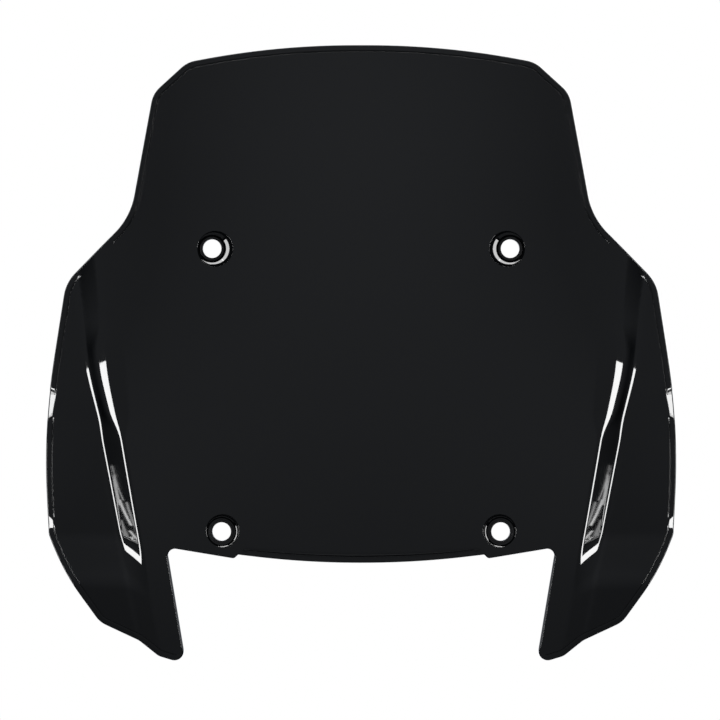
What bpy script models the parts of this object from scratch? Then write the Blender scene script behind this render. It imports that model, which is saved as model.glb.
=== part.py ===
"""Motorcycle windshield screen: one moulded sheet with four recessed holes, each lined by a rubber grommet.

All dimensions are in millimetres and turned to metres when a mesh is written. X is to the right, Z is up
and the crowned front faces -Y. The origin is the centre of the four-hole pattern, in the plane the grommets
seat on. The part is symmetric, so the right-hand half (X >= 0) is built and then mirrored.
"""
import math

import bmesh
import bpy
from mathutils import Vector
from mathutils.geometry import delaunay_2d_cdt

MM = 0.001

# Sheet
THICKNESS = 3.8
BACK_CHAMFER = 0.5

# Crown of the sheet: depth of the front surface grows with the square of the distance from the centre line
CROWN_FRONT = -17.0
LEAN = -0.040
PROFILE_CURVE = 1 / 4270
CROWN_LOW = 0.00036
CROWN_RISE = 0.00066
CROWN_HALF_SPAN = 130.0

# Stepped crease down each side, running out through the shoulder. Its inner and outer line lean outwards
# as they rise, and each jogs sideways where the crease broadens.
INNER_X = 162.4
INNER_LEAN = 0.17
INNER_JOG = -7.2
INNER_JOG_START = -36.0
INNER_JOG_RUN = 24.0
INNER_TURN = -0.06
INNER_TURN_START = -12.0
OUTER_X = 182.3
OUTER_LEAN = 0.199
OUTER_LEAN_ABOVE = 0.13
OUTER_KNEE = 20.0
OUTER_JOG = 2.6
OUTER_JOG_START = -26.0
OUTER_JOG_RUN = 40.0

# Share of the crease's width taken by the rounds of its two edges; the inner one is broadest round the middle
INNER_ROUND_LOW = 0.2
INNER_ROUND_GROWTH = 0.5
INNER_ROUND_LOSS = 0.25
INNER_ROUND_KNEE = 24.0
OUTER_ROUND = 0.22

# Depth of the step, which fades out down the leg, and the sweep of the wing outside it
STEP_DEPTH = 7.5
STEP_FADE_TOP = -97.0
STEP_FADE_RUN = 38.0
STEP_FADE = 0.85
WING_SWEEP = 0.1
SHOULDER_TOP = 72.0
SHOULDER_RUN = 105.0

# Lip between the two lower tabs
LIP_EDGE_Z = -114.8
LIP_EDGE_RADIUS = 600.0
LIP_WIDTH = 3.3
LIP_DROP_CENTRE = 3.1
LIP_DROP_END = 1.0
LIP_HALF_LENGTH = 80.0
LIP_END_RUN = 5.0
LIP_WALL_FOOT = 0.4
LIP_WALL_SPREAD = 0.8

# Recessed holes: (centre x, centre z)
HOLES = {"upper": (99.0, 94.0), "lower": (92.7, -94.0)}
HOLE_RADIUS = 7.4
FLOOR_FRONT = -5.6
FLOOR_RADIUS = 8.5
DISH_SLOPE = 0.62
WALL_RADIUS = 11.0
WALL_SLOPE = 1.6
DISH_ROUND = 0.9
PAD_BACK = FLOOR_FRONT + THICKNESS
PAD_RADIUS = 11.4
PAD_SLOPE = 1.5
HOLE_SEGMENTS = 32

# Grommet: (radius, y) round its section, with 0.3 mm of air to the sheet
BORE_RADIUS = 6.2
GROMMET_SECTION = [
    (BORE_RADIUS, -0.3),
    (BORE_RADIUS, -6.45),
    (6.45, -6.7),
    (7.8, -6.7),
    (8.1, -6.4),
    (8.1, -5.9),
    (7.1, -5.9),
    (7.1, -1.5),
    (10.4, -1.5),
    (10.4, -0.3),
    (10.1, 0.0),
    (6.6, 0.0),
]

# Right-hand half of the outline from top centre to bottom centre: (x, z, fillet radius)
OUTLINE = [
    (0.0, 228.7, 0.0),
    (57.5, 228.7, 590.0),
    (115.8, 218.2, 19.0),
    (138.8, 197.7, 18.0),
    (154.0, 115.2, 47.0),
    (197.4, 72.6, 26.0),
    (212.9, -23.6, 400.0),
    (209.3, -96.9, 10.0),
    (199.6, -120.8, 170.0),
    (174.5, -155.1, 17.0),
    (148.1, -167.1, 15.0),
    (135.1, -177.4, 10.0),
    (116.6, -182.9, 6.4),
    (129.3, -104.6, 4.5),
    (84.4, -111.9, 2.5),
    (81.7, -109.3, 0.8),
    (39.0, -114.8, 590.0),
    (0.0, -114.8, 0.0),
]
LEG_TIP = 12
ARC_TOLERANCE = 0.08
LONGEST_EDGE = 12.0

# Edge section from the outline inwards: (inset, drop behind the surface). The rim has a flat band and a fine
# groove that parts it from the panel; the plain edge, along the notch, is only rounded.
RIM_SECTION = [(0.0, 1.0), (0.3, 0.3), (1.0, 0.0), (3.9, 0.0), (4.1, 0.7), (4.6, 0.7), (4.8, 0.0)]
PLAIN_SECTION = [(0.0, 0.8), (0.1, 0.42), (0.25, 0.2), (0.45, 0.07), (0.6, 0.03), (0.75, 0.01), (0.9, 0.0)]

# Spacing of the surface points, and tolerances
GRID = 13.0
ROW_PITCH = 0.87 * GRID
GRID_CLEARANCE = 4.5
CREASE_PITCH = 8.0
CREASE_START = 48.0
CREASE_END = -156.0
LIP_PITCH = 8.0
SLIVER_AREA = 0.002
SHARP_ANGLE = math.radians(35)
MITRE_LIMIT = 0.5
WELD = 1e-4
SEARCH_SPAN = 12.0
SEARCH_STEPS = 40

PLASTIC_COLOUR = (0.011, 0.013, 0.014)
RUBBER_COLOUR = (0.02, 0.02, 0.021)


def smooth(t):
    t = min(max(t, 0.0), 1.0)
    return t * t * (3 - 2 * t)


def crease_lines(z):
    """|x| of the inner and outer edge of the stepped crease at this height."""
    inner = INNER_X + INNER_LEAN * z + INNER_TURN * max(0.0, z - INNER_TURN_START)
    inner += INNER_JOG * smooth((z - INNER_JOG_START) / INNER_JOG_RUN)
    outer = OUTER_X + OUTER_LEAN * min(z, OUTER_KNEE) + OUTER_LEAN_ABOVE * max(0.0, z - OUTER_KNEE)
    outer += OUTER_JOG * smooth((z - OUTER_JOG_START) / OUTER_JOG_RUN)
    return inner, outer


def inner_round(z):
    """Share of the crease's width taken by the round of its inner edge at this height."""
    share = INNER_ROUND_LOW + INNER_ROUND_GROWTH * smooth((z - INNER_JOG_START) / INNER_JOG_RUN)
    return share - INNER_ROUND_LOSS * smooth((z - INNER_ROUND_KNEE) / INNER_ROUND_KNEE)


def step(share, round_in, round_out):
    """A ramp from 0 to 1 with rounded ends; share runs from 0 at the inner edge to 1 at the outer."""
    share = min(max(share, 0.0), 1.0)
    slope = 1 / (1 - (round_in + round_out) / 2)
    if share < round_in:
        return slope * share * share / (2 * round_in)
    if share > 1 - round_out:
        return 1 - slope * (1 - share) ** 2 / (2 * round_out)
    return slope * (share - round_in / 2)


def lip_edge(x):
    return LIP_EDGE_Z + x * x / (2 * LIP_EDGE_RADIUS)


def lip_drop(x):
    """How far the lip sits behind the panel: most at the centre, fading out beside the tabs."""
    share = min(x / LIP_HALF_LENGTH, 1.0)
    height = LIP_DROP_CENTRE + (LIP_DROP_END - LIP_DROP_CENTRE) * share * share
    return height * smooth((LIP_HALF_LENGTH - x) / LIP_END_RUN)


def lip_wall_top(x):
    return lip_edge(x) + LIP_WIDTH + LIP_WALL_FOOT + LIP_WALL_SPREAD * lip_drop(x)


def surface(x, z):
    """Depth y of the front surface before the holes are recessed, for x >= 0."""
    crown = CROWN_LOW + CROWN_RISE * smooth((z + CROWN_HALF_SPAN) / (2 * CROWN_HALF_SPAN))
    y = CROWN_FRONT + LEAN * z + PROFILE_CURVE * z * z + crown * x * x
    inner, outer = crease_lines(z)
    height = STEP_DEPTH * (1 - STEP_FADE * smooth((STEP_FADE_TOP - z) / STEP_FADE_RUN))
    y += height * step((x - inner) / (outer - inner), inner_round(z), OUTER_ROUND)
    y += WING_SWEEP * max(0.0, x - outer) * smooth((SHOULDER_TOP - z) / SHOULDER_RUN)
    if x < LIP_HALF_LENGTH:
        low = lip_edge(x) + LIP_WIDTH
        y += lip_drop(x) * (1 - smooth((z - low) / (lip_wall_top(x) - low)))
    return y


def soft_max(a, b, reach):
    """The larger of two depths, with their meeting line rounded."""
    near = max(reach - abs(a - b), 0.0) / reach
    return max(a, b) + near * near * reach / 4


def front_dish(radius):
    """Depth of the recess: a flat floor, a shallow cone, then a steeper wall up to the sheet."""
    cone = DISH_SLOPE * max(radius - FLOOR_RADIUS, 0.0)
    wall = (WALL_SLOPE - DISH_SLOPE) * max(radius - WALL_RADIUS, 0.0)
    return FLOOR_FRONT - cone - wall


def back_pad(radius):
    return PAD_BACK - PAD_SLOPE * max(radius - PAD_RADIUS, 0.0)


def front(x, z):
    y = surface(x, z)
    for hole_x, hole_z in HOLES.values():
        y = soft_max(y, front_dish(math.hypot(x - hole_x, z - hole_z)), DISH_ROUND)
    return y


def back(x, z):
    y = surface(x, z) + THICKNESS
    for hole_x, hole_z in HOLES.values():
        y = soft_max(y, back_pad(math.hypot(x - hole_x, z - hole_z)), DISH_ROUND)
    return y


def outline_points():
    """The half outline with rounded corners: (x, z, share); share is 0 on the rim and 1 past the leg tip."""
    points = [(*OUTLINE[0][:2], 0.0)]
    for index in range(1, len(OUTLINE) - 1):
        corner = Vector(OUTLINE[index][:2])
        radius = OUTLINE[index][2]
        before = (Vector(OUTLINE[index - 1][:2]) - corner).normalized()
        after = (Vector(OUTLINE[index + 1][:2]) - corner).normalized()
        half_open = before.angle(after) / 2
        turn = math.pi - 2 * half_open
        centre = corner + (before + after).normalized() * radius / math.sin(half_open)
        start = corner + before * radius / math.tan(half_open) - centre
        side = math.copysign(1.0, before.x * after.y - before.y * after.x)
        steps = max(2, math.ceil(turn / (2 * math.acos(1 - ARC_TOLERANCE / radius))))
        for number in range(steps + 1):
            angle = side * turn * number / steps
            arm = Vector((
                start.x * math.cos(angle) + start.y * math.sin(angle),
                start.y * math.cos(angle) - start.x * math.sin(angle),
            ))
            share = 0.0 if index < LEG_TIP else 1.0 if index > LEG_TIP else smooth(number / steps)
            points.append((centre.x + arm.x, centre.y + arm.y, share))
    points.append((*OUTLINE[-1][:2], 1.0))
    return split_long_edges(points)


def split_long_edges(points):
    split = [points[0]]
    for low, high in zip(points, points[1:]):
        length = math.dist(low[:2], high[:2])
        pieces = max(1, math.ceil(length / LONGEST_EDGE))
        for number in range(1, pieces + 1):
            split.append(tuple(a + (b - a) * number / pieces for a, b in zip(low, high)))
    return split


def inward_normals(points):
    """Mitred inward direction at each outline point; the two end points stay on the centre line."""
    normals = []
    for index, point in enumerate(points):
        if index == 0:
            normals.append(Vector((0.0, -1.0)))
        elif index == len(points) - 1:
            normals.append(Vector((0.0, 1.0)))
        else:
            here = Vector(point[:2])
            back_edge = (here - Vector(points[index - 1][:2])).normalized()
            fore_edge = (Vector(points[index + 1][:2]) - here).normalized()
            along = (back_edge + fore_edge).normalized()
            mitre = max(along.dot(fore_edge), MITRE_LIMIT)
            normals.append(Vector((along.y, -along.x)) / mitre)
    return normals


def inset_loop(points, normals, rim_inset, plain_inset):
    loop = []
    for (x, z, share), normal in zip(points, normals):
        inset = rim_inset + (plain_inset - rim_inset) * share
        loop.append((x + normal.x * inset, z + normal.y * inset))
    return loop


def meeting_radius(hole, angle, level, cone, start):
    """Radius at which a cone round the hole meets the given surface in this direction."""
    low, high = start, start + SEARCH_SPAN
    for _ in range(SEARCH_STEPS):
        middle = (low + high) / 2
        x = hole[0] + middle * math.cos(angle)
        z = hole[1] + middle * math.sin(angle)
        if cone(middle) > level(x, z):
            low = middle
        else:
            high = middle
    return low


def hole_loops(hole, radii_of):
    """Rings of (x, z) round a hole; radii_of gives every ring's radius for one angle."""
    loops = []
    for number in range(HOLE_SEGMENTS):
        angle = 2 * math.pi * number / HOLE_SEGMENTS
        spoke = [(hole[0] + r * math.cos(angle), hole[1] + r * math.sin(angle)) for r in radii_of(angle)]
        loops.append(spoke)
    return [list(ring) for ring in zip(*loops)]


def front_hole_loops(hole):
    def radii(angle):
        rim = meeting_radius(hole, angle, surface, front_dish, FLOOR_RADIUS)
        return HOLE_RADIUS, FLOOR_RADIUS, min(WALL_RADIUS, rim - 1.0), rim - 0.4, rim + DISH_ROUND
    return hole_loops(hole, radii)


def back_hole_loops(hole):
    def level(x, z):
        return surface(x, z) + THICKNESS

    def radii(angle):
        foot = meeting_radius(hole, angle, level, back_pad, PAD_RADIUS)
        return HOLE_RADIUS, PAD_RADIUS, foot, foot + DISH_ROUND
    return hole_loops(hole, radii)


def crease_points():
    """Lines of (x, z) along the crease: its two edges and where their rounds end."""
    count = math.ceil((CREASE_START - CREASE_END) / CREASE_PITCH)
    lines = [[], [], [], []]
    for number in range(count + 1):
        z = CREASE_START + (CREASE_END - CREASE_START) * number / count
        inner, outer = crease_lines(z)
        width = outer - inner
        shares = (0.0, inner_round(z), 1 - OUTER_ROUND, 1.0)
        for line, share in zip(lines, shares):
            line.append((inner + width * share, z))
    return lines


def lip_points():
    """Lines of (x, z) along the foot and the top of the lip's wall."""
    count = math.ceil((LIP_HALF_LENGTH - 2) / LIP_PITCH)
    xs = [(LIP_HALF_LENGTH - 2) * number / count for number in range(count + 1)]
    low = [(x, lip_edge(x) + LIP_WIDTH) for x in xs]
    high = [(x, lip_wall_top(x)) for x in xs]
    return [low, high]


def inside(point, polygon):
    x, z = point
    hit = False
    for (ax, az), (bx, bz) in zip(polygon, polygon[1:] + polygon[:1]):
        if (az > z) != (bz > z) and x < ax + (bx - ax) * (z - az) / (bz - az):
            hit = not hit
    return hit


def grid_points(border, hole_rings, fixed):
    """Staggered points over the field between the border and the holes, clear of the fixed points."""
    right = max(x for x, _ in border)
    low = min(z for _, z in border)
    high = max(z for _, z in border)
    grid = []
    for row in range(math.floor(low / ROW_PITCH), math.ceil(high / ROW_PITCH)):
        for column in range(1, math.ceil(right / GRID) + 1):
            point = (GRID * (column - 0.5 * (row % 2)), ROW_PITCH * row)
            if not inside(point, border) or any(inside(point, ring) for ring in hole_rings):
                continue
            if min(math.dist(point, other) for other in fixed) > GRID_CLEARANCE:
                grid.append(point)
    return grid


def triangulate(border, hole_rings, lines):
    """Points and triangles filling the border, outside the hole rings, with edges along every line."""
    coords, edges = [], []
    for chain in [border] + hole_rings + lines:
        first = len(coords)
        coords += chain
        edges += [(first + n, first + n + 1) for n in range(len(chain) - 1)]
        if chain not in lines:
            edges.append((first + len(chain) - 1, first))
    coords += grid_points(border, hole_rings, coords)
    points, _, triangles, *_ = delaunay_2d_cdt([Vector(c) for c in coords], edges, [], 0, 1e-5, False)
    kept = []
    for triangle in triangles:
        a, b, c = (points[corner] for corner in triangle)
        middle = (a + b + c) / 3
        if abs((b - a).cross(c - a)) < SLIVER_AREA:
            continue
        if inside(middle, border) and not any(inside(middle, ring) for ring in hole_rings):
            kept.append(triangle)
    return points, kept


def add_strip(mesh, ring_a, ring_b, closed):
    count = len(ring_a)
    for number in range(count if closed else count - 1):
        following = (number + 1) % count
        mesh.faces.new((ring_a[number], ring_a[following], ring_b[following], ring_b[number]))


def add_ring(mesh, loop, depth):
    return [mesh.verts.new((x, depth(x, z), z)) for x, z in loop]


def add_field(mesh, border, hole_rings, lines, depth, centre_loop):
    """One side of the sheet inside its edge section, on the given depth; it welds to the rings around it."""
    points, triangles = triangulate(border + centre_loop, hole_rings, lines)
    verts = [mesh.verts.new((p.x, depth(p.x, p.y), p.y)) for p in points]
    for triangle in triangles:
        mesh.faces.new([verts[corner] for corner in triangle])


def centre_line(border, pitch):
    """Points down x = 0 between the two ends of the border, from its last point to its first."""
    low, high = border[-1][1], border[0][1]
    count = math.ceil((high - low) / pitch)
    return [(0.0, low + (high - low) * number / count) for number in range(1, count)]


def build_screen():
    """The moulded sheet: both faces, the rolled rim, the recessed holes and their pads."""
    mesh = bmesh.new()
    points = outline_points()
    normals = inward_normals(points)

    rings = []
    for (rim_inset, rim_drop), (plain_inset, plain_drop) in zip(RIM_SECTION, PLAIN_SECTION):
        loop = inset_loop(points, normals, rim_inset, plain_inset)
        ring = []
        for (x, z), (_, _, share) in zip(loop, points):
            drop = rim_drop + (plain_drop - rim_drop) * share
            ring.append(mesh.verts.new((x, surface(x, z) + drop, z)))
        rings.append(ring)
    front_border = loop

    edge_ring = add_ring(mesh, [p[:2] for p in points], lambda x, z: surface(x, z) + THICKNESS - BACK_CHAMFER)
    back_border = inset_loop(points, normals, BACK_CHAMFER, BACK_CHAMFER)
    back_ring = add_ring(mesh, back_border, back)
    chain = [back_ring, edge_ring] + rings
    for ring_a, ring_b in zip(chain, chain[1:]):
        add_strip(mesh, ring_a, ring_b, closed=False)

    front_holes, back_holes = [], []
    for hole in HOLES.values():
        front_loops = front_hole_loops(hole)
        back_loops = back_hole_loops(hole)
        front_rings = [add_ring(mesh, loop, front) for loop in front_loops]
        back_rings = [add_ring(mesh, loop, back) for loop in back_loops]
        chain = front_rings[::-1] + back_rings
        for ring_a, ring_b in zip(chain, chain[1:]):
            add_strip(mesh, ring_a, ring_b, closed=True)
        front_holes.append(front_loops[-1])
        back_holes.append(back_loops[-1])

    lines = crease_points() + lip_points()
    add_field(mesh, front_border, front_holes, lines, front, centre_line(front_border, GRID))
    add_field(mesh, back_border, back_holes, lines, back, centre_line(back_border, GRID))

    bmesh.ops.remove_doubles(mesh, verts=mesh.verts, dist=WELD)
    half = list(mesh.verts) + list(mesh.edges) + list(mesh.faces)
    bmesh.ops.mirror(mesh, geom=half, axis="X", merge_dist=WELD)
    bmesh.ops.recalc_face_normals(mesh, faces=mesh.faces)
    return mesh


def build_grommet(centre_x, centre_z):
    """A hollow rubber ring, flanged in front of and behind the sheet."""
    mesh = bmesh.new()
    rings = []
    for radius, y in GROMMET_SECTION:
        ring = []
        for number in range(HOLE_SEGMENTS):
            angle = 2 * math.pi * number / HOLE_SEGMENTS
            ring.append(mesh.verts.new((
                centre_x + radius * math.cos(angle),
                y,
                centre_z + radius * math.sin(angle),
            )))
        rings.append(ring)
    for ring_a, ring_b in zip(rings, rings[1:] + rings[:1]):
        add_strip(mesh, ring_a, ring_b, closed=True)
    bmesh.ops.recalc_face_normals(mesh, faces=mesh.faces)
    return mesh


def add_material(name, colour, roughness, coat):
    material = bpy.data.materials.new(name)
    material.use_nodes = True
    shader = material.node_tree.nodes["Principled BSDF"]
    shader.inputs["Base Color"].default_value = (*colour, 1.0)
    shader.inputs["Metallic"].default_value = 0.0
    shader.inputs["Roughness"].default_value = roughness
    shader.inputs["Coat Weight"].default_value = coat
    return material


def add_part(name, mesh, material):
    data = bpy.data.meshes.new(name)
    mesh.to_mesh(data)
    mesh.free()
    for vertex in data.vertices:
        vertex.co *= MM
    data.shade_smooth()
    data.set_sharp_from_angle(angle=SHARP_ANGLE)
    part = bpy.data.objects.new(name, data)
    part.data.materials.append(material)
    bpy.context.scene.collection.objects.link(part)
    return part


def main():
    for thing in list(bpy.data.objects):
        bpy.data.objects.remove(thing, do_unlink=True)
    add_part("screen", build_screen(), add_material("smoked_plastic", PLASTIC_COLOUR, 0.06, 0.5))
    for height, (hole_x, hole_z) in HOLES.items():
        for side, sign in (("left", -1), ("right", 1)):
            rubber = add_material(f"rubber_{height}_{side}", RUBBER_COLOUR, 0.5, 0.0)
            add_part(f"grommet_{height}_{side}", build_grommet(sign * hole_x, hole_z), rubber)


main()
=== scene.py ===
import math

import bmesh
import bpy
import numpy as np
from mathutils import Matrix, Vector
from mathutils.geometry import delaunay_2d_cdt


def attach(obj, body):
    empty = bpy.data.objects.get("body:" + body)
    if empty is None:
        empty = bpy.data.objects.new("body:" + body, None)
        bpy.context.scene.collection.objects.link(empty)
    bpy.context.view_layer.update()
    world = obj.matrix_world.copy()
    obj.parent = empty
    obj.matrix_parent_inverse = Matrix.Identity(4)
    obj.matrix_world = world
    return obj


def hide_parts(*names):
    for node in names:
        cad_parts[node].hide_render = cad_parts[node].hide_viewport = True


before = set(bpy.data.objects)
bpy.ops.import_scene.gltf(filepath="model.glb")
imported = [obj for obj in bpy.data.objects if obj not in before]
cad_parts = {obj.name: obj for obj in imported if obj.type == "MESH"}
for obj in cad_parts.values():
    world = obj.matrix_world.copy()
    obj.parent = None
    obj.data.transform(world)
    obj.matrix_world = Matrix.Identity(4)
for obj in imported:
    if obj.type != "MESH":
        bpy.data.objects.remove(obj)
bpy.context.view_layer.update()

# Everything below is in millimetres until a mesh is written, apart from the studio, which is in metres.
# X is right, Z up, and the crowned front faces -Y.
MM = 0.001

# ---------------------------------------------------------------- surface of the sheet

THICKNESS = 3.8
BACK_ROUND = 0.5

# Front surface: its depth at the centre, its lean and curve in profile, and its crown, rounder higher up
CROWN_FRONT = -17.0
LEAN = -0.040
PROFILE_CURVE = 1 / 4270
CROWN_LOW = 0.00036
CROWN_RISE = 0.00066
CROWN_HALF_SPAN = 130.0

# Stepped crease down each side, running out through the shoulder. Its inner and outer line lean outwards
# as they rise, and each jogs sideways where the crease broadens.
INNER_X = 162.4
INNER_LEAN = 0.17
INNER_JOG = -7.2
INNER_JOG_START = -36.0
INNER_JOG_RUN = 24.0
INNER_TURN = -0.06
INNER_TURN_START = -12.0
OUTER_X = 182.3
OUTER_LEAN = 0.199
OUTER_LEAN_ABOVE = 0.13
OUTER_KNEE = 20.0
OUTER_JOG = 2.6
OUTER_JOG_START = -26.0
OUTER_JOG_RUN = 40.0
CREASE_LEAST_WIDTH = 1.0

# Shares of the crease's width taken by the rounds of its two edges; the inner is broadest near mid-height
INNER_ROUND_LOW = 0.2
INNER_ROUND_GROWTH = 0.5
INNER_ROUND_LOSS = 0.25
INNER_ROUND_LOSS_START = 24.0
INNER_ROUND_LOSS_RUN = 24.0
OUTER_ROUND = 0.22

# Depth of the step, most of which fades away down the leg, a little higher up at the crease's outer side
STEP_DEPTH = 7.5
STEP_FADE_TOP = -97.0
STEP_FADE_RUN = 38.0
STEP_FADE = 0.85
STEP_FADE_SLANT = 7.0
STEP_FADE_PIVOT = 0.7

# Sweep of the wing outside the crease, which sets in below the shoulder
SHOULDER_TOP = 72.0
SHOULDER_RUN = 105.0
WING_SWEEP = 0.1

# Set-back lip along the bottom edge, between the tabs of the lower holes
LIP_EDGE_Z = -114.8
LIP_EDGE_RADIUS = 600.0
LIP_WIDTH = 3.3
LIP_DROP_CENTRE = 3.1
LIP_DROP_END = 1.0
LIP_HALF_LENGTH = 80.0
LIP_END_RUN = 5.0
LIP_WALL_LEAST = 0.4
LIP_WALL_SPREAD = 0.8

# Holes as (x, z), each with a dish of flat floor, cone and wall on the front, and a pad on the back
HOLES = {"upper": (99.0, 94.0), "lower": (92.7, -94.0)}
HOLE_RADIUS = 7.4
FLOOR_FRONT = -5.6
FLOOR_RADIUS = {"upper": 8.3, "lower": 8.9}
CONE_SLOPE = {"upper": 0.87, "lower": 0.87}
FLOOR_BEND = {"upper": 0.25, "lower": 0.45}
WALL_RADIUS = {"upper": 10.8, "lower": 10.4}
WALL_SHIFT = {"upper": 0.9, "lower": 0.2}
WALL_SLOPE = 1.3
WALL_BEND = 0.2
DISH_RIM_ROUND = 0.15
PAD_BACK = FLOOR_FRONT + THICKNESS
PAD_RADIUS = 11.4
PAD_SLOPE = 1.5
PAD_FOOT_ROUND = 0.9

# Corners of the right half of the outline, from the top centre round to the lip's centre: (x, z, radius)
OUTLINE = [
    (0.0, 228.7, 0.0),
    (57.5, 228.7, 590.0),
    (115.8, 218.2, 19.0),
    (138.8, 197.7, 18.0),
    (154.0, 115.2, 47.0),
    (198.3, 72.2, 27.0),
    (212.9, -23.6, 440.0),
    (209.3, -96.9, 10.0),
    (199.6, -120.8, 170.0),
    (174.5, -155.1, 17.0),
    (148.1, -167.1, 15.0),
    (135.1, -177.4, 10.0),
    (116.6, -182.9, 6.4),
    (129.3, -104.6, 4.5),
    (84.4, -111.9, 2.5),
    (81.7, -109.3, 0.8),
    (39.0, -114.8, 590.0),
    (0.0, -114.8, 0.0),
]
LEG_TIP = 12

# Rim: a rounded edge, a flat band and the fine groove that parts it from the panel. The groove's outer wall
# is given as (offset, depth) and mirrored; it fades out where the crease crosses the rim at the shoulder.
EDGE_ROUND = 0.7
ROUND_STEPS = 9
BAND_WIDTH = 3.3
BAND_STATIONS = (0.85, 1.9, 3.1)
GROOVE_WALL = [(0.0, 0.0), (0.08, 0.02), (0.2, 0.15), (0.5, 0.5)]
GROOVE_WIDTH = 1.2
GROOVE_APRON = (1.5, 1.8, 2.1)
GROOVE_FADE = 6.0

# Plain edge of the lip and the notch
PLAIN_ROUND = 0.8
PLAIN_PITCH = 0.1

# Slanted edge down the inner side of each leg, which fades in and out over a short run
LEG_SLANT_WIDTH = 1.3
LEG_SLANT_DEPTH = 3.2
LEG_SLANT_LOW = -178.0
LEG_SLANT_HIGH = -108.0
LEG_SLANT_RUN = 3.0
LEG_SLANT_PITCH = 0.05

# Bevels of the rim at the widest part of each wing, as (lowest z, highest z, slope, width at the low end,
# width at the high end). They fade in over a short run, and take the place of the groove.
BEVELS = [(-21.0, 0.5, 0.46, 3.0, 5.2), (-95.5, -84.0, 0.27, 5.4, 2.4)]
BEVEL_RUN = 1.5
BEVEL_FADE = 0.25
BEVEL_FROM = 204.0

# Fineness of the mesh
ARC_TOLERANCE = 0.01
ARC_LEAST_STEPS = 3
LONGEST_EDGE = 2.5
FRONT_PITCH = 2.6
BACK_PITCH = 4.5
BACK_ROUND_TURNS = (0.0, 0.4, 0.8, 1.2, math.pi / 2)
HOLE_SEGMENTS = 96
SLOPE_STEP = 0.05
MITRE_LIMIT = 0.5
WELD = 1e-3

# Guide lines along the crease and across the lip's wall
CREASE_LINES = 15
CREASE_START = 52.0
CREASE_END = -160.0
LIP_LINES = 7
LIP_GUIDE_MARGIN = 0.5

# Rings of the mesh round each hole, mostly as offsets from the hole's edge, the dish's rim, the pad's edge
# or the pad's foot. Rim and foot are found by halving a span of radii.
HOLE_RING = 0.2
DISH_RINGS = 9
DISH_RIM_MARGIN = 0.3
FLOOR_BEND_SHARES = (-1.0, -0.5, 0.0, 0.5, 1.0)
DISH_RIM_RINGS = (-0.2, -0.12, -0.04, 0.04, 0.12, 0.2, 0.3, 0.8, 1.4)
PAD_RING = 0.3
PAD_FOOT_RINGS = (-0.6, -0.3, 0.0, 0.3, 0.6, 1.5)
SEARCH_SPAN = 12.0
SEARCH_STEPS = 40

# Grid of points that fills the two faces: its extent, the height of a row and the gap to the guide lines as
# shares of the pitch, the points tested at a time, and the smallest distance and area that count
GRID_LOW = -190
GRID_HIGH = 240
GRID_WIDTH = 230
GRID_ROW = 0.87
GRID_GAP = 0.45
GRID_BATCH = 500
SMALLEST_DISTANCE = 1e-5
SMALLEST_AREA = 1e-4

# Which face of the sheet a vertex lies on
EDGE, FRONT, BACK = 0, 1, 2


def smooth(t):
    t = np.clip(t, 0.0, 1.0)
    return t * t * (3 - 2 * t)


def crease_lines(z):
    """|x| of the inner and outer edge of the stepped crease at each height."""
    inner = INNER_X + INNER_LEAN * z + INNER_JOG * smooth((z - INNER_JOG_START) / INNER_JOG_RUN)
    inner = inner + INNER_TURN * np.maximum(0.0, z - INNER_TURN_START)
    outer = OUTER_X + OUTER_LEAN * np.minimum(z, OUTER_KNEE)
    outer = outer + OUTER_LEAN_ABOVE * np.maximum(0.0, z - OUTER_KNEE)
    outer = outer + OUTER_JOG * smooth((z - OUTER_JOG_START) / OUTER_JOG_RUN)
    return inner, np.maximum(outer, inner + CREASE_LEAST_WIDTH)


def inner_round(z):
    """Share of the crease's width taken by the round of its inner edge at this height."""
    share = INNER_ROUND_LOW + INNER_ROUND_GROWTH * smooth((z - INNER_JOG_START) / INNER_JOG_RUN)
    return share - INNER_ROUND_LOSS * smooth((z - INNER_ROUND_LOSS_START) / INNER_ROUND_LOSS_RUN)


def step(share, round_in, round_out):
    """A ramp from 0 to 1 with rounded ends, across the crease from its inner edge to its outer."""
    slope = 1 / (1 - (round_in + round_out) / 2)
    ramp = slope * (share - round_in / 2)
    ramp = np.where(share < round_in, slope * share * share / (2 * round_in), ramp)
    return np.where(share > 1 - round_out, 1 - slope * (1 - share) ** 2 / (2 * round_out), ramp)


def lip_edge(x):
    return LIP_EDGE_Z + x * x / (2 * LIP_EDGE_RADIUS)


def lip_drop(x):
    """How far the lip sits behind the panel: most at the centre, fading out beside the tabs."""
    share = np.minimum(x / LIP_HALF_LENGTH, 1.0)
    height = LIP_DROP_CENTRE + (LIP_DROP_END - LIP_DROP_CENTRE) * share * share
    return height * smooth((LIP_HALF_LENGTH - x) / LIP_END_RUN)


def lip_wall_top(x):
    return lip_edge(x) + LIP_WIDTH + LIP_WALL_LEAST + LIP_WALL_SPREAD * lip_drop(x)


def surface(x, z):
    """Depth y of the front surface before the holes are recessed, for x >= 0."""
    crown = CROWN_LOW + CROWN_RISE * smooth((z + CROWN_HALF_SPAN) / (2 * CROWN_HALF_SPAN))
    y = CROWN_FRONT + LEAN * z + PROFILE_CURVE * z * z + crown * x * x
    inner, outer = crease_lines(z)
    share = np.clip((x - inner) / (outer - inner), 0.0, 1.0)
    fade_top = STEP_FADE_TOP + STEP_FADE_SLANT * (share - STEP_FADE_PIVOT)
    height = STEP_DEPTH * (1 - STEP_FADE * smooth((fade_top - z) / STEP_FADE_RUN))
    y = y + height * step(share, inner_round(z), OUTER_ROUND)
    y = y + WING_SWEEP * np.maximum(0.0, x - outer) * smooth((SHOULDER_TOP - z) / SHOULDER_RUN)
    low = lip_edge(x) + LIP_WIDTH
    return y + lip_drop(x) * (1 - smooth((z - low) / (lip_wall_top(x) - low)))


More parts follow.
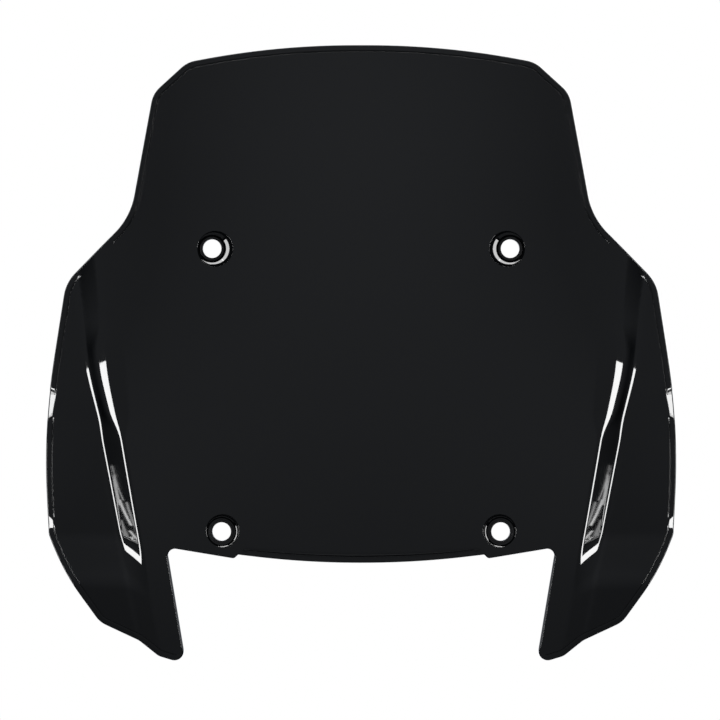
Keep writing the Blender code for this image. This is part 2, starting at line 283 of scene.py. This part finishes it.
def soft_max(a, b, reach):
    """The larger of two depths, with their meeting line rounded."""
    near = np.maximum(reach - np.abs(a - b), 0.0) / reach
    return np.maximum(a, b) + near * near * reach / 4


def bend(offset, reach):
    """0 before a corner and the offset past it, turning smoothly within reach of it."""
    eased = (offset + reach) ** 2 / (4 * reach)
    return np.where(offset < -reach, 0.0, np.where(offset > reach, offset, eased))


def front_dish(row, x, z):
    """Depth of a recess: a flat floor, a cone, then a steeper wall set a little towards the middle."""
    hole_x, hole_z = HOLES[row]
    radius = np.hypot(x - hole_x, z - hole_z)
    wall_radius = np.hypot(x - hole_x + WALL_SHIFT[row], z - hole_z)
    cone = CONE_SLOPE[row] * bend(radius - FLOOR_RADIUS[row], FLOOR_BEND[row])
    wall = (WALL_SLOPE - CONE_SLOPE[row]) * bend(wall_radius - WALL_RADIUS[row], WALL_BEND)
    return FLOOR_FRONT - cone - wall


def back_pad(row, x, z):
    """Depth of the pad behind a recess, which keeps the floor as thick as the sheet."""
    hole_x, hole_z = HOLES[row]
    return PAD_BACK - PAD_SLOPE * np.maximum(np.hypot(x - hole_x, z - hole_z) - PAD_RADIUS, 0.0)


def front(x, z):
    y = surface(x, z)
    for row in HOLES:
        y = soft_max(y, front_dish(row, x, z), DISH_RIM_ROUND)
    return y


def back(x, z):
    y = surface(x, z) + THICKNESS
    for row in HOLES:
        y = soft_max(y, back_pad(row, x, z), PAD_FOOT_ROUND)
    return y


# ---------------------------------------------------------------- outline and rings

def outline_points():
    """The half outline with rounded corners: x, z and share, which is 0 on the rim, 1 past the leg's tip."""
    points = [(*OUTLINE[0][:2], 0.0)]
    for index in range(1, len(OUTLINE) - 1):
        corner = Vector(OUTLINE[index][:2])
        radius = OUTLINE[index][2]
        before = (Vector(OUTLINE[index - 1][:2]) - corner).normalized()
        after = (Vector(OUTLINE[index + 1][:2]) - corner).normalized()
        half_open = before.angle(after) / 2
        turn = math.pi - 2 * half_open
        centre = corner + (before + after).normalized() * radius / math.sin(half_open)
        start = corner + before * radius / math.tan(half_open) - centre
        side = math.copysign(1.0, before.x * after.y - before.y * after.x)
        steps = max(ARC_LEAST_STEPS, math.ceil(turn / (2 * math.acos(1 - ARC_TOLERANCE / radius))))
        for number in range(steps + 1):
            angle = side * turn * number / steps
            arm_x = start.x * math.cos(angle) + start.y * math.sin(angle)
            arm_z = start.y * math.cos(angle) - start.x * math.sin(angle)
            share = 0.0 if index < LEG_TIP else 1.0 if index > LEG_TIP else float(smooth(number / steps))
            points.append((centre.x + arm_x, centre.y + arm_z, share))
    points.append((*OUTLINE[-1][:2], 1.0))
    split = [points[0]]
    for low, high in zip(points, points[1:]):
        pieces = max(1, math.ceil(math.dist(low[:2], high[:2]) / LONGEST_EDGE))
        for number in range(1, pieces + 1):
            split.append(tuple(a + (b - a) * number / pieces for a, b in zip(low, high)))
    return np.array(split)


def inward_normals(points):
    """Mitred inward direction at each outline point; the two end points stay on the centre line."""
    edges = np.diff(points[:, :2], axis=0)
    edges /= np.linalg.norm(edges, axis=1)[:, None]
    along = edges[:-1] + edges[1:]
    along /= np.linalg.norm(along, axis=1)[:, None]
    mitre = np.maximum(np.sum(along * edges[1:], axis=1), MITRE_LIMIT)
    normals = np.zeros_like(points[:, :2])
    normals[1:-1] = np.stack([along[:, 1], -along[:, 0]], axis=1) / mitre[:, None]
    normals[0] = (0.0, -1.0)
    normals[-1] = (0.0, 1.0)
    return normals


def edge_sections():
    """Matching (inset, drop) stations inwards from the edge: the rim's, the plain edge's and the slant's."""
    rim, plain = [], []
    for number in range(ROUND_STEPS):
        angle = math.pi / 2 * number / (ROUND_STEPS - 1)
        across, down = 1 - math.cos(angle), 1 - math.sin(angle)
        rim.append((EDGE_ROUND * across, EDGE_ROUND * down))
        plain.append((PLAIN_ROUND * across, PLAIN_ROUND * down))
    flat = [(inset, 0.0) for inset in BAND_STATIONS]
    groove = GROOVE_WALL + [(GROOVE_WIDTH - offset, depth) for offset, depth in reversed(GROOVE_WALL)]
    groove += [(offset, 0.0) for offset in GROOVE_APRON]
    groove = [(BAND_WIDTH + offset, depth) for offset, depth in groove]
    for number, station in enumerate(flat + groove):
        rim.append(station)
        plain.append((PLAIN_ROUND + PLAIN_PITCH * (number + 1), 0.0))
    slant = []
    for number in range(len(rim)):
        share = min(number / (ROUND_STEPS - 1), 1.0)
        past = max(0, number - ROUND_STEPS + 1)
        slant.append((LEG_SLANT_WIDTH * share + LEG_SLANT_PITCH * past, LEG_SLANT_DEPTH * (1 - share)))
    return np.array(rim), np.array(plain), np.array(slant)


def leg_share(points):
    """How far each outline point has the leg's slanted edge."""
    z = points[:, 1]
    window = smooth((z - LEG_SLANT_LOW) / LEG_SLANT_RUN) * smooth((LEG_SLANT_HIGH - z) / LEG_SLANT_RUN)
    return np.where((points[:, 2] == 1.0) & (points[:, 0] > OUTLINE[LEG_TIP][0]), window, 0.0)


def bevel_windows(points):
    """Slope and width of each bevel at the outline points; both bevels lie well apart."""
    x, z = points[:, 0], points[:, 1]
    slope, width = np.zeros(len(points)), np.zeros(len(points))
    for low, high, steepness, width_low, width_high in BEVELS:
        window = smooth((z - low) / BEVEL_RUN) * smooth((high - z) / BEVEL_RUN) * (x > BEVEL_FROM)
        slope += steepness * window
        width += (width_low + (width_high - width_low) * (z - low) / (high - low)) * (window > 0)
    return slope, width


def crease_share(points):
    """How far each outline point lies inside the crease where it runs out through the shoulder."""
    inner, outer = crease_lines(points[:, 1])
    inside_both = smooth((points[:, 0] - inner) / GROOVE_FADE) * smooth((outer - points[:, 0]) / GROOVE_FADE)
    return np.where(points[:, 1] > 0, inside_both, 0.0)


def inset_loop(points, normals, inset):
    return points[:, :2] + normals * np.reshape(inset, (-1, 1))


def ring_place(row, radius):
    """Points round a hole, at one radius or at one radius per spoke."""
    angles = 2 * math.pi * np.arange(HOLE_SEGMENTS) / HOLE_SEGMENTS
    return HOLES[row][0] + radius * np.cos(angles), HOLES[row][1] + radius * np.sin(angles)


def meeting_radii(row, level, recess, start):
    """For each spoke round a hole, the radius where the recess meets the surface."""
    low = np.full(HOLE_SEGMENTS, start)
    high = low + SEARCH_SPAN
    for _ in range(SEARCH_STEPS):
        middle = (low + high) / 2
        x, z = ring_place(row, middle)
        above = recess(row, x, z) > level(x, z)
        low, high = np.where(above, middle, low), np.where(above, high, middle)
    return low


def hole_ring(row, radius):
    return np.stack(ring_place(row, radius), axis=1)


def front_hole_rings(row):
    """Rings from a hole's edge on the front, over the dish's floor and cone, to just past its rim."""
    rim = meeting_radii(row, surface, front_dish, FLOOR_RADIUS[row])
    bend_reach = FLOOR_BEND[row]
    radii = [HOLE_RADIUS, HOLE_RADIUS + HOLE_RING]
    radii += [FLOOR_RADIUS[row] + bend_reach * share for share in FLOOR_BEND_SHARES]
    base = FLOOR_RADIUS[row] + bend_reach
    for number in range(1, DISH_RINGS + 1):
        radii.append(base + (rim - DISH_RIM_MARGIN - base) * number / DISH_RINGS)
    radii += [rim + offset for offset in DISH_RIM_RINGS]
    return [hole_ring(row, radius) for radius in radii]


def back_hole_rings(row):
    """Rings from a hole's edge on the back, over the pad, to just past its foot."""
    foot = meeting_radii(row, lambda x, z: surface(x, z) + THICKNESS, back_pad, PAD_RADIUS)
    radii = [HOLE_RADIUS, HOLE_RADIUS + PAD_RING, PAD_RADIUS - PAD_RING, PAD_RADIUS, PAD_RADIUS + PAD_RING]
    radii += [foot + offset for offset in PAD_FOOT_RINGS]
    return [hole_ring(row, radius) for radius in radii]


def crease_guides(pitch):
    """Lines of (x, z) along the crease, from its inner edge to its outer one."""
    count = math.ceil((CREASE_START - CREASE_END) / pitch)
    z = np.linspace(CREASE_START, CREASE_END, count)
    inner, outer = crease_lines(z)
    shares = np.linspace(0, 1, CREASE_LINES)
    return [np.stack([inner + (outer - inner) * share, z], axis=1) for share in shares]


def lip_guides(pitch):
    """Lines of (x, z) along the wall between the lip and the panel."""
    x = np.linspace(0.0, LIP_HALF_LENGTH - LIP_GUIDE_MARGIN, math.ceil(LIP_HALF_LENGTH / pitch))
    low, high = lip_edge(x) + LIP_WIDTH, lip_wall_top(x)
    return [np.stack([x, low + (high - low) * share], axis=1) for share in np.linspace(0, 1, LIP_LINES)]


# ---------------------------------------------------------------- mesh

def inside(points, polygon):
    """Which points lie in the polygon, by counting edges crossed."""
    hit = np.zeros(len(points), bool)
    x, z = points[:, 0], points[:, 1]
    for (ax, az), (bx, bz) in zip(polygon, np.roll(polygon, -1, axis=0)):
        spans = (az > z) != (bz > z)
        if az != bz:
            hit ^= spans & (x < ax + (bx - ax) * (z - az) / (bz - az))
    return hit


def fill(border, hole_rings, guides, pitch):
    """Points and triangles between the border and the hole rings, with edges along every guide."""
    coords, edges = [], []
    chains = [(border, True)] + [(ring, True) for ring in hole_rings] + [(guide, False) for guide in guides]
    for chain, closed in chains:
        first = len(coords)
        coords += [tuple(point) for point in chain]
        edges += [(first + n, first + n + 1) for n in range(len(chain) - 1)]
        if closed:
            edges.append((first + len(chain) - 1, first))
    fixed = np.array(coords)
    rows = np.arange(GRID_LOW, GRID_HIGH, pitch * GRID_ROW)
    columns = np.arange(1, GRID_WIDTH / pitch) * pitch
    grid = np.array([(x - pitch / 2 * (n % 2), z) for n, z in enumerate(rows) for x in columns])
    grid = grid[inside(grid, border)]
    for ring in hole_rings:
        grid = grid[~inside(grid, ring)]
    inner, outer = crease_lines(grid[:, 1])
    beside_guides = (grid[:, 1] < CREASE_START) & (grid[:, 1] > CREASE_END)
    grid = grid[~((grid[:, 0] > inner) & (grid[:, 0] < outer) & beside_guides)]
    clear = np.ones(len(grid), bool)
    for start in range(0, len(grid), GRID_BATCH):
        part = grid[start:start + GRID_BATCH]
        across = part[:, None, 0] - fixed[None, :, 0]
        up = part[:, None, 1] - fixed[None, :, 1]
        clear[start:start + GRID_BATCH] = np.min(np.hypot(across, up), axis=1) > pitch * GRID_GAP
    coords += [tuple(point) for point in grid[clear]]
    flat = [Vector(place) for place in coords]
    points, _, triangles, *_ = delaunay_2d_cdt(flat, edges, [], 0, SMALLEST_DISTANCE, False)
    points = np.array([tuple(point) for point in points])
    triangles = np.array(triangles)
    a, b, c = (points[triangles[:, n]] for n in range(3))
    area = np.abs((b[:, 0] - a[:, 0]) * (c[:, 1] - a[:, 1]) - (b[:, 1] - a[:, 1]) * (c[:, 0] - a[:, 0]))
    middle = (a + b + c) / 3
    keep = inside(middle, border) & (area > SMALLEST_AREA)
    for ring in hole_rings:
        keep &= ~inside(middle, ring)
    return points, triangles[keep]


def add_strip(mesh, ring_a, ring_b, closed):
    count = len(ring_a)
    for number in range(count if closed else count - 1):
        following = (number + 1) % count
        mesh.faces.new((ring_a[number], ring_a[following], ring_b[following], ring_b[number]))


def add_ring(mesh, loop, depth, face=EDGE):
    """A ring of vertices, each marked with the face of the sheet whose slope gives its normal."""
    mark = mesh.verts.layers.int["face"]
    ring = [mesh.verts.new((x, y, z)) for (x, z), y in zip(loop, depth)]
    for vertex in ring:
        vertex[mark] = face
    return ring


def add_side(mesh, border, hole_rings, guides, pitch, depth, face):
    """One face of the half sheet, closed along the centre line."""
    low, high = border[-1, 1], border[0, 1]
    count = math.ceil((high - low) / pitch)
    middle = np.stack([np.zeros(count - 1), np.linspace(low, high, count + 1)[1:-1]], axis=1)
    points, triangles = fill(np.concatenate([border, middle]), hole_rings, guides, pitch)
    depths = depth(points[:, 0], points[:, 1])
    verts = add_ring(mesh, points, depths, face)
    for triangle in triangles:
        mesh.faces.new([verts[corner] for corner in triangle])


def build_screen():
    """The moulded sheet at full fineness, built as its right half and mirrored."""
    mesh = bmesh.new()
    mesh.verts.layers.int.new("face")
    points = outline_points()
    normals = inward_normals(points)
    share = points[:, 2]

    rings = []
    for turn in BACK_ROUND_TURNS:
        inset = BACK_ROUND * (1 - math.sin(turn))
        loop = inset_loop(points, normals, np.full(len(points), inset))
        drop = THICKNESS - BACK_ROUND * (1 - math.cos(turn))
        rings.append(add_ring(mesh, loop, surface(loop[:, 0], loop[:, 1]) + drop))
    back_border = inset_loop(points, normals, np.full(len(points), BACK_ROUND))
    slanted = leg_share(points)[:, None]
    plain_share = share[:, None]
    slope, width = bevel_windows(points)
    groove_share = (1 - smooth(slope / BEVEL_FADE)) * (1 - crease_share(points))
    for rim, plain, slant in zip(*edge_sections()):
        station = (rim * (1 - plain_share) + plain * plain_share) * (1 - slanted) + slant * slanted
        loop = inset_loop(points, normals, station[:, 0])
        kept = groove_share if rim[0] > EDGE_ROUND else 1.0
        drop = station[:, 1] * kept + slope * np.maximum(width - rim[0], 0.0)
        face = FRONT if rim[0] == BAND_WIDTH + GROOVE_APRON[-1] else EDGE
        rings.append(add_ring(mesh, loop, surface(loop[:, 0], loop[:, 1]) + drop, face))
    front_border = loop
    for ring_a, ring_b in zip(rings, rings[1:]):
        add_strip(mesh, ring_a, ring_b, closed=False)

    front_holes, back_holes = [], []
    for row in HOLES:
        front_loops, back_loops = front_hole_rings(row), back_hole_rings(row)
        chain = [add_ring(mesh, loop, front(loop[:, 0], loop[:, 1]), FRONT) for loop in front_loops[::-1]]
        chain += [add_ring(mesh, loop, back(loop[:, 0], loop[:, 1]), BACK) for loop in back_loops]
        for ring_a, ring_b in zip(chain, chain[1:]):
            add_strip(mesh, ring_a, ring_b, closed=True)
        front_holes.append(front_loops[-1])
        back_holes.append(back_loops[-1])

    guides = crease_guides(FRONT_PITCH) + lip_guides(FRONT_PITCH)
    add_side(mesh, front_border, front_holes, guides, FRONT_PITCH, front, FRONT)
    guides = crease_guides(BACK_PITCH) + lip_guides(BACK_PITCH)
    add_side(mesh, back_border, back_holes, guides, BACK_PITCH, back, BACK)
    bmesh.ops.remove_doubles(mesh, verts=mesh.verts, dist=WELD)
    half = list(mesh.verts) + list(mesh.edges) + list(mesh.faces)
    bmesh.ops.mirror(mesh, geom=half, axis="X", merge_dist=WELD)
    bmesh.ops.recalc_face_normals(mesh, faces=mesh.faces)
    return mesh


def true_normals(data):
    """Normals from the sheet's own slope on its two faces, so that reflections run clean across triangles."""
    count = len(data.vertices)
    coords, normals, marks = np.empty(count * 3), np.empty(count * 3), np.empty(count, int)
    data.vertices.foreach_get("co", coords)
    data.vertices.foreach_get("normal", normals)
    data.attributes["face"].data.foreach_get("value", marks)
    coords, normals = coords.reshape(-1, 3) / MM, normals.reshape(-1, 3)
    side = np.where(coords[:, 0] < 0, -1.0, 1.0)
    x, z = np.abs(coords[:, 0]), coords[:, 2]
    for face, depth, outward in ((FRONT, front, 1.0), (BACK, back, -1.0)):
        low_x = np.maximum(x - SLOPE_STEP, 0.0)
        slope_x = (depth(x + SLOPE_STEP, z) - depth(low_x, z)) / (x + SLOPE_STEP - low_x)
        slope_x = np.where(x < SLOPE_STEP, 0.0, slope_x)
        slope_z = (depth(x, z + SLOPE_STEP) - depth(x, z - SLOPE_STEP)) / (2 * SLOPE_STEP)
        normal = outward * np.stack([slope_x * side, -np.ones(count), slope_z], axis=1)
        normal /= np.linalg.norm(normal, axis=1)[:, None]
        normals = np.where((marks == face)[:, None], normal, normals)
    data.normals_split_custom_set_from_vertices(normals)


def add_piece(name, mesh, material):
    data = bpy.data.meshes.new(name)
    mesh.to_mesh(data)
    mesh.free()
    coords = np.empty(len(data.vertices) * 3)
    data.vertices.foreach_get("co", coords)
    data.vertices.foreach_set("co", coords * MM)
    data.shade_smooth()
    piece = bpy.data.objects.new(name, data)
    data.materials.append(material)
    bpy.context.scene.collection.objects.link(piece)
    return piece


# ---------------------------------------------------------------- materials

# Stretch of a noise's value over which a roughness runs from its low to its high end
NOISE_LOW = 0.3
NOISE_HIGH = 0.7

# Noises are (scale, detail)
PLASTIC_COLOURS = ((0.0012, 0.0014, 0.0017, 1.0), (0.0019, 0.0022, 0.0026, 1.0))
PLASTIC_CLOUDS = (14.0, 4.0)
PLASTIC_HAZE = (60.0, 3.0)
PLASTIC_ROUGHNESS = (0.02, 0.04)
PLASTIC_IOR = 1.5

RUBBER_COLOURS = ((0.004, 0.004, 0.0045, 1.0), (0.008, 0.008, 0.0085, 1.0))
RUBBER_GRAIN = (2200.0, 3.0)
RUBBER_ROUGHNESS = (0.4, 0.55)
RUBBER_SPECULAR = 0.25
RUBBER_SHARP_ANGLE = 35


def principled(name):
    material = bpy.data.materials.new(name)
    material.use_nodes = True
    nodes = material.node_tree.nodes
    return material, nodes, material.node_tree.links, nodes["Principled BSDF"]


def noise(nodes, links, scale, detail):
    """A noise fixed to the piece, with its scale per metre."""
    coords = nodes.new("ShaderNodeTexCoord")
    node = nodes.new("ShaderNodeTexNoise")
    node.inputs["Scale"].default_value = scale
    node.inputs["Detail"].default_value = detail
    links.new(coords.outputs["Object"], node.inputs["Vector"])
    return node.outputs["Fac"]


def fall(nodes, links, source, start, end, start_value, end_value):
    """A value that runs from one level to another while the source runs from start to end."""
    node = nodes.new("ShaderNodeMapRange")
    node.inputs["From Min"].default_value = start
    node.inputs["From Max"].default_value = end
    node.inputs["To Min"].default_value = start_value
    node.inputs["To Max"].default_value = end_value
    links.new(source, node.inputs["Value"])
    return node.outputs["Result"]


def vary_colour(nodes, links, shader, source, colours):
    """Let the base colour drift between two colours with a noise."""
    mix = nodes.new("ShaderNodeMix")
    mix.data_type = "RGBA"
    mix.inputs[6].default_value, mix.inputs[7].default_value = colours
    links.new(source, mix.inputs["Factor"])
    links.new(mix.outputs[2], shader.inputs["Base Color"])


def vary_roughness(nodes, links, shader, source, roughness):
    links.new(fall(nodes, links, source, NOISE_LOW, NOISE_HIGH, *roughness), shader.inputs["Roughness"])


def smoked_plastic():
    """Polished near-black moulded plastic with a cool tint."""
    material, nodes, links, shader = principled("smoked_plastic")
    vary_colour(nodes, links, shader, noise(nodes, links, *PLASTIC_CLOUDS), PLASTIC_COLOURS)
    vary_roughness(nodes, links, shader, noise(nodes, links, *PLASTIC_HAZE), PLASTIC_ROUGHNESS)
    shader.inputs["IOR"].default_value = PLASTIC_IOR
    return material


def rubber():
    """Satin moulded rubber of the hole liners."""
    material, nodes, links, shader = principled("grommet_rubber")
    grain = noise(nodes, links, *RUBBER_GRAIN)
    vary_colour(nodes, links, shader, grain, RUBBER_COLOURS)
    vary_roughness(nodes, links, shader, grain, RUBBER_ROUGHNESS)
    shader.inputs["Specular IOR Level"].default_value = RUBBER_SPECULAR
    return material


# ---------------------------------------------------------------- studio

# Brightness of the room by direction, from -1 in front or below to 1 behind or above: (start, end,
# brightness at the start, brightness at the end). Front and sides add up, the height scales them, and the
# backdrop behind the screen comes on top.
ROOM_FRONT = (-1.0, -0.84, 0.34, 0.23)
ROOM_SIDES = (-0.36, -0.26, 0.0, -0.22)
ROOM_HEIGHT = (-0.3, 0.12, 0.7, 1.1)
BACKDROP = (0.6, 0.88, 0.0, 2.4)
ROOM_TINT = (0.93, 0.97, 1.04, 1.0)
WHITE = (1.0, 1.0, 1.0, 1.0)
SIDE_DISTANCE = 1.1

# Soft lights beside the screen: (name, depth y, height z, width, length, roll in degrees, radiance)
SOFTBOXES = [
    ("side_softbox", -0.54, -0.241, 0.18, 0.638, -12.0, 22.0),
    ("dish_softbox", -0.135, 0.335, 0.07, 1.73, 0.0, 12.0),
    ("rim_softbox", -0.088, 0.148, 0.05, 0.09, 0.0, 18.0),
    ("strip_long", -0.304, -0.2065, 0.002, 0.083, -11.2, 7.0),
    ("strip_upper", -0.302, -0.222, 0.0045, 0.070, -3.3, 9.0),
    ("strip_middle", -0.309, -0.276, 0.0045, 0.063, -7.3, 12.0),
    ("strip_inner", -0.319, -0.300, 0.004, 0.097, -2.4, 6.0),
    ("strip_lower", -0.311, -0.3345, 0.004, 0.031, -19.0, 13.0),
    ("strip_outer", -0.297, -0.315, 0.006, 0.044, 0.0, 5.0),
]

# Lights overhead, facing down: (name, x, y, length, width)
OVERHEAD_LIGHTS = [
    ("overhead_centre", 0.0, -0.125, 0.6, 0.05),
    ("overhead_left", -0.7, -0.16, 0.8, 0.09),
    ("overhead_right", 0.7, -0.16, 0.8, 0.09),
    ("overhead_rear", 0.0, -0.22, 1.4, 0.02),
]
OVERHEAD_HEIGHT = 1.1
OVERHEAD_RADIANCE = 12.0

# Floor: its radius in millimetres, its height in metres and its finish
FLOOR_RADIUS_MM = 5000.0
FLOOR_SEGMENTS = 128
FLOOR_HEIGHT = -4.0
FLOOR_COLOUR = (0.6, 0.6, 0.6, 1.0)
FLOOR_ROUGHNESS = 0.9

# Camera: its place, the width seen at the screen, and the width of its sensor in millimetres
CAMERA_X = -0.00075
CAMERA_DISTANCE = 3.0
CAMERA_HEIGHT = 0.0200
SEEN_WIDTH = 0.47932
SENSOR_WIDTH = 36.0


def add_light(name, place, width, height, radiance):
    """A rectangular light of even radiance, facing down until it is turned."""
    light = bpy.data.lights.new(name, "AREA")
    light.shape = "RECTANGLE"
    light.size = width
    light.size_y = height
    light.energy = radiance * math.pi * width * height
    holder = bpy.data.objects.new(name, light)
    bpy.context.scene.collection.objects.link(holder)
    holder.location = place
    return holder


def add_softbox(name, side, depth, height, width, tall, roll, radiance):
    """A soft light standing beside the screen, facing across to it."""
    holder = add_light(name, (side * SIDE_DISTANCE, depth, height), width, tall, radiance)
    holder.rotation_euler = Vector((-side, 0.0, 0.0)).to_track_quat("-Z", "Y").to_euler()
    holder.rotation_euler.rotate_axis("Z", math.radians(roll) * side)


def show_to_camera(nodes, links, seen, around, output):
    """Show one shader to the camera, and another to everything else."""
    path = nodes.new("ShaderNodeLightPath")
    mix = nodes.new("ShaderNodeMixShader")
    links.new(path.outputs["Is Camera Ray"], mix.inputs[0])
    links.new(around.outputs[0], mix.inputs[1])
    links.new(seen.outputs[0], mix.inputs[2])
    links.new(mix.outputs[0], output.inputs["Surface"])


def room():
    """A dim room, brighter in front of the screen and far brighter behind it; the camera sees plain white."""
    world = bpy.data.worlds.new("studio")
    bpy.context.scene.world = world
    world.use_nodes = True
    nodes, links = world.node_tree.nodes, world.node_tree.links
    nodes.clear()
    output = nodes.new("ShaderNodeOutputWorld")
    direction = nodes.new("ShaderNodeTexCoord")
    split = nodes.new("ShaderNodeSeparateXYZ")
    links.new(direction.outputs["Generated"], split.inputs[0])
    ahead = fall(nodes, links, split.outputs["Y"], *ROOM_FRONT)
    height = fall(nodes, links, split.outputs["Z"], *ROOM_HEIGHT)
    sides = fall(nodes, links, split.outputs["Y"], *ROOM_SIDES)
    backdrop = fall(nodes, links, split.outputs["Y"], *BACKDROP)
    level = nodes.new("ShaderNodeMath")
    links.new(ahead, level.inputs[0])
    links.new(sides, level.inputs[1])
    brightness = nodes.new("ShaderNodeMath")
    brightness.operation = "MULTIPLY_ADD"
    links.new(level.outputs[0], brightness.inputs[0])
    links.new(height, brightness.inputs[1])
    links.new(backdrop, brightness.inputs[2])
    around = nodes.new("ShaderNodeBackground")
    around.inputs["Color"].default_value = ROOM_TINT
    links.new(brightness.outputs[0], around.inputs["Strength"])
    seen = nodes.new("ShaderNodeBackground")
    seen.inputs["Color"].default_value = WHITE
    show_to_camera(nodes, links, seen, around, output)


def lights():
    """The soft lights on both sides and the ones overhead."""
    for side in (-1, 1):
        for name, *place in SOFTBOXES:
            add_softbox(f"{name}_{side}", side, *place)
    for name, x, y, length, width in OVERHEAD_LIGHTS:
        add_light(name, (x, y, OVERHEAD_HEIGHT), length, width, OVERHEAD_RADIANCE)


def floor():
    """A pale floor well below the screen, as white to the camera as the room around it."""
    mesh = bmesh.new()
    bmesh.ops.create_circle(mesh, cap_ends=True, segments=FLOOR_SEGMENTS, radius=FLOOR_RADIUS_MM)
    material, nodes, links, shader = principled("floor")
    shader.inputs["Base Color"].default_value = FLOOR_COLOUR
    shader.inputs["Roughness"].default_value = FLOOR_ROUGHNESS
    seen = nodes.new("ShaderNodeEmission")
    seen.inputs["Color"].default_value = WHITE
    show_to_camera(nodes, links, seen, shader, nodes["Material Output"])
    piece = add_piece("floor", mesh, material)
    piece.location = (0.0, 0.0, FLOOR_HEIGHT)


def camera():
    """Square to the front, far off, so that the outline is nearly a parallel view."""
    data = bpy.data.cameras.new("camera")
    data.sensor_width = SENSOR_WIDTH
    data.lens = SENSOR_WIDTH * CAMERA_DISTANCE / SEEN_WIDTH
    holder = bpy.data.objects.new("camera", data)
    bpy.context.scene.collection.objects.link(holder)
    holder.location = (CAMERA_X, -CAMERA_DISTANCE, CAMERA_HEIGHT)
    holder.rotation_euler = (math.pi / 2, 0.0, 0.0)
    bpy.context.scene.camera = holder


# ---------------------------------------------------------------- the object

screen = add_piece("screen_sheet", build_screen(), smoked_plastic())
true_normals(screen.data)
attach(screen, "root")
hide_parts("screen")

liner = rubber()
for name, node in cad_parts.items():
    if name.startswith("grommet"):
        node.data.shade_smooth()
        node.data.set_sharp_from_angle(angle=math.radians(RUBBER_SHARP_ANGLE))
        for place in node.material_slots:
            place.material = liner

room()
lights()
floor()
camera()
bpy.context.scene.view_settings.view_transform = "Standard"
